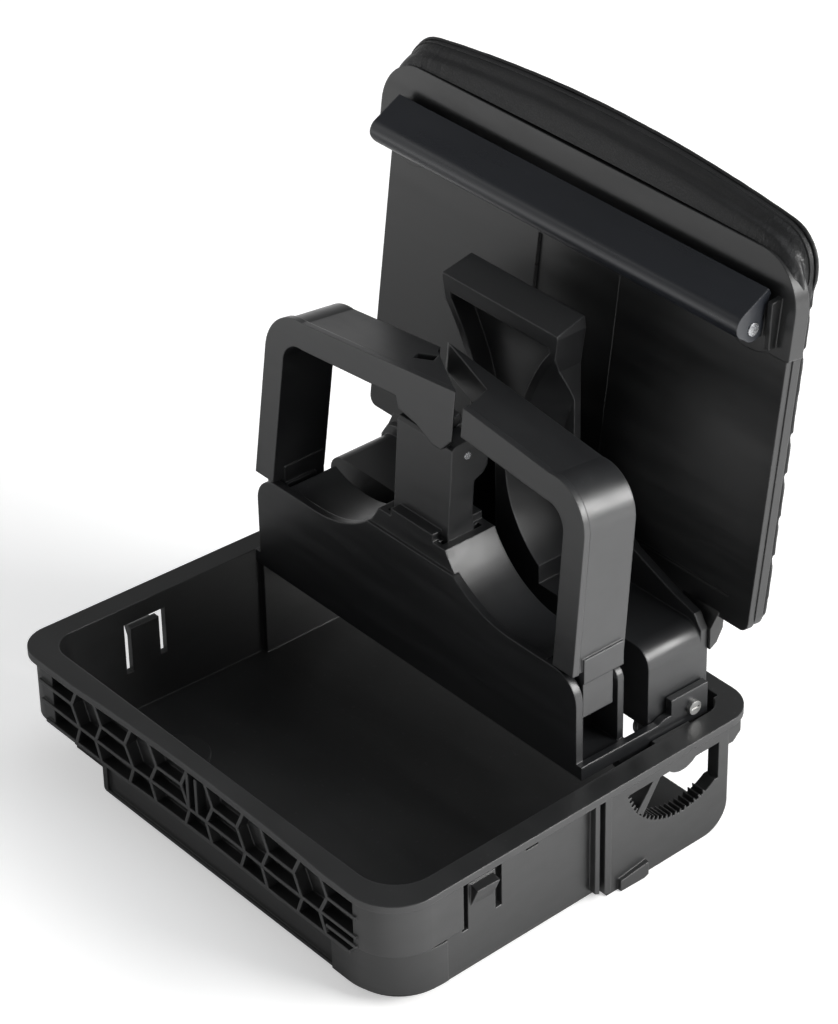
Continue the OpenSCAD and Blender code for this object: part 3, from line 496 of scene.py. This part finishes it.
def even(ring, n):
    """n points spread evenly along a closed outline, from the middle of its top."""
    k = min(range(len(ring)), key=lambda i: abs(ring[i][0]) - (1000 if ring[i][1] > 60 else 0))
    ring = ring[k:] + ring[:k]
    pts = [Vector(q) for q in ring] + [Vector(ring[0])]
    run = [0.0]
    for a, b in zip(pts, pts[1:]):
        run.append(run[-1] + (b - a).length)
    res, j = [], 0
    for i in range(n):
        t = run[-1] * i / n
        while run[j + 1] < t:
            j += 1
        f = (t - run[j]) / (run[j + 1] - run[j])
        res.append(pts[j].lerp(pts[j + 1], f))
    return res


def make_wrap():
    """Turned edge of the cover: a sloping band from the panel's raised edge out to the pad."""
    out, mid, low = (cover_ring(*size) for size in (WRAP_OUT, WRAP_MID, WRAP_LOW))
    n = min(len(out), len(mid), len(low))
    out, mid, low = even(out, n), even(mid, n), even(low, n)
    # outline, distance outward and depth of each ring, in mm
    steps = (
        (low, 0.0, 2.2), (low, 0.0, -1.6), (low, 0.35, -2.35), (low, 0.6, -2.0),
        (mid, -0.3, -1.0), (mid, 0.4, 0.2), (mid, 0.9, 1.2),
        (out, -1.6, 2.2), (out, -0.7, 3.4), (out, -0.2, 4.6), (out, 0.0, 5.3),
        (out, -0.4, 5.9), (out, -1.6, 6.2), (out, -3.2, 6.3),
    )
    rings = []
    for k, (ring, d, y) in enumerate(steps):
        # the band between its two tucked-in edges is slightly uneven, most at the two corners
        free = 0.0 if k < 3 or k > 10 else 1.0
        row = []
        for x, h in ring:
            away = Vector((x, h - 60.0)).normalized()
            corner = math.exp(-((abs(x) - 70.0) / 17.0) ** 2) if h > 80 else 0.0
            w = noise.noise(Vector((x * 0.10, h * 0.10, y * 0.5))) * 0.28
            w += noise.noise(Vector((x * 0.55, h * 0.55, y * 0.9 + 4.0))) * (0.08 + 0.34 * corner)
            x2, h2 = x + away.x * (d + w * free), h + away.y * (d + w * free)
            row.append(lid_point(x2, y + 0.4 * w * free, h2))
        rings.append(row)
    bm = loft(rings, False, False)
    up = (lid_point(0, 0, 1) - ORIGIN).normalized()
    cut = [f for f in bm.faces if (f.calc_center_median() - ORIGIN).dot(up) < WRAP_FROM * MM]
    bmesh.ops.delete(bm, geom=cut, context="FACES")
    ob = mesh_object("cover_wrap", bm, cover_mat, "holder")
    so = ob.modifiers.new("thick", "SOLIDIFY")
    so.thickness = 0.5 * MM
    so.offset = -1
    sub = ob.modifiers.new("subsurf", "SUBSURF")
    sub.levels = sub.render_levels = 2


def tube(name, pts, r, mat, sides=8):
    """Thin round cord through a list of points."""
    bm = bmesh.new()
    rows = []
    for i, p in enumerate(pts):
        t = (pts[min(i + 1, len(pts) - 1)] - pts[max(i - 1, 0)]).normalized()
        u = t.cross(Vector((0, 1, 0))).normalized()
        v = t.cross(u)
        row = []
        for k in range(sides):
            a = 2 * math.pi * k / sides
            row.append(bm.verts.new(p + (u * math.cos(a) + v * math.sin(a)) * r))
        rows.append(row)
    for a, b in zip(rows, rows[1:]):
        for k in range(sides):
            bm.faces.new((a[k], a[(k + 1) % sides], b[(k + 1) % sides], b[k]))
    bm.faces.new(rows[0])
    bm.faces.new(rows[-1])
    mesh_object(name, bm, mat, "holder")


def make_seams():
    """Two welted seams that follow the free edge of the cover. Their ends are tucked in."""
    path = cover_ring(*WRAP_OUT, step=1.6)
    arch = [q for q in path if q[1] > WRAP_FROM + 0.4]
    for name, d, y, r in (("seam_outer", -0.15, 5.75, 0.55), ("seam_inner", 0.55, 3.9, 0.34)):
        pts = []
        for i, (x, h) in enumerate(arch):
            away = Vector((x, h - 60.0)).normalized()
            end = min(i, len(arch) - 1 - i)
            w = 0.10 * noise.noise(Vector((x * 0.3, h * 0.3, y))) - 0.45 * max(0, 4 - end)
            pts.append(lid_point(x - away.x * (d - w), y, h - away.y * (d - w)))
        tube(name, pts, r * MM, cover_mat)


cover = make_cover()
make_seams()
make_wrap()
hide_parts("lid_cover")

# -------------------------------------------------------------- stage, light
sc = bpy.context.scene
TABLE_SEEN, TABLE_MIRRORED = 0.46, 0.85  # white of the table to the camera and in reflections
HORIZON, CEILING, SOFT = 0.85, 0.16, 0.22  # world in reflections, low and high, and for the rest

# The floor reads as a white studio table to the camera and in reflections, and its shadow stays. The
# reflected white is a glow for glossy rays with a painted shadow: it fades out close to the object on
# the side away from the key light.
k = Mat("floor_white")
k.b.inputs["Base Color"].default_value = (0.88, 0.88, 0.88, 1)
k.b.inputs["Roughness"].default_value = 0.8
k.b.inputs["Emission Color"].default_value = (1, 1, 1, 1)
ray = k.node("LightPath").outputs
place = k.node("NewGeometry").outputs["Position"]
reach = k.node("VectorMath", operation="LENGTH")
k.link(place, reach.inputs[0])
# painted shadow in the reflected white: faded out near the object, and kept full on the key light's
# side (large x)
beyond_painted_shadow = k.ramp(reach.outputs["Value"], 0.32, 0.58)
outside_painted_shadow = k.math("MAXIMUM", beyond_painted_shadow, k.ramp(k.axis(place, "X"), 0.07, 0.13))
seen = k.math("MULTIPLY", ray["Is Camera Ray"], TABLE_SEEN)
mirrored = k.math("MULTIPLY", k.math("MULTIPLY", ray["Is Glossy Ray"], outside_painted_shadow), TABLE_MIRRORED)
k.link(k.math("ADD", seen, mirrored), k.b.inputs["Emission Strength"])
bm = bmesh.new()
bmesh.ops.create_grid(bm, x_segments=1, y_segments=1, size=6.0)
floor = mesh_object("floor", bm, k.m, None)
floor.location.z = min(0.0, cad_lo.z) - 0.0002

world = bpy.data.worlds.new("studio")
sc.world = world
world.use_nodes = True
# white backdrop to the camera, and in reflections near the horizon; dim ceiling, soft fill for the rest
w = Nodes(world.node_tree)
bg = world.node_tree.nodes["Background"]
bg.inputs["Color"].default_value = (1, 1, 1, 1)
ray = w.node("LightPath").outputs
rise = w.axis(w.node("TexCoord").outputs["Generated"], "Z")
shown = w.choose(ray["Is Glossy Ray"], SOFT, w.ramp(rise, 0.05, 0.42, HORIZON, CEILING))
w.link(w.choose(ray["Is Camera Ray"], shown, 1.0), bg.inputs["Strength"])


def area(name, loc, target, size, power, color=(1, 1, 1)):
    """A rectangular lamp at loc that faces target."""
    li = bpy.data.lights.new(name, "AREA")
    li.shape = "RECTANGLE"
    li.size, li.size_y = size
    li.energy = power
    li.color = color
    ob = bpy.data.objects.new(name, li)
    sc.collection.objects.link(ob)
    ob.location = loc
    ob.rotation_mode = "QUATERNION"
    ob.rotation_quaternion = (Vector(target) - Vector(loc)).to_track_quat("-Z", "Y")


area("key_right", (1.35, 0.85, 0.85), (0.02, 0, 0.06), (1.1, 0.8), 38.0, (1.0, 0.995, 0.985))
area("top_soft", (0.15, 0.25, 1.7), (0, 0, 0.05), (0.9, 0.9), 4.0, (0.95, 0.975, 1.0))
area("left_fill", (-1.2, -0.55, 0.75), (0, 0, 0.08), (0.8, 0.8), 1.7)
area("front_fill", (0.6, -1.4, 0.6), (0, 0, 0.06), (0.8, 0.6), 0.25)

# the photograph's viewpoint, found from the rim's corners and other paired points
EYE = Vector((0.66711, -0.53952, 0.66478))
LENS, SENSOR = 130.3, 36
cam_d = bpy.data.cameras.new("camera")
cam = bpy.data.objects.new("camera", cam_d)
sc.collection.objects.link(cam)
cam_d.sensor_width = SENSOR
cam_d.lens = LENS
cam_d.clip_start, cam_d.clip_end = 0.05, 30
right = Vector((0.6474, 0.7619, -0.0177)).normalized()
fwd = Vector((-0.6414, 0.5321, -0.5527)).normalized()
up = right.cross(fwd).normalized()
right = fwd.cross(up).normalized()
rot = Matrix((right, up, -fwd)).transposed()
cam.matrix_world = Matrix.Translation(EYE) @ rot.to_4x4()
sc.camera = cam
sc.view_settings.view_transform = "Standard"
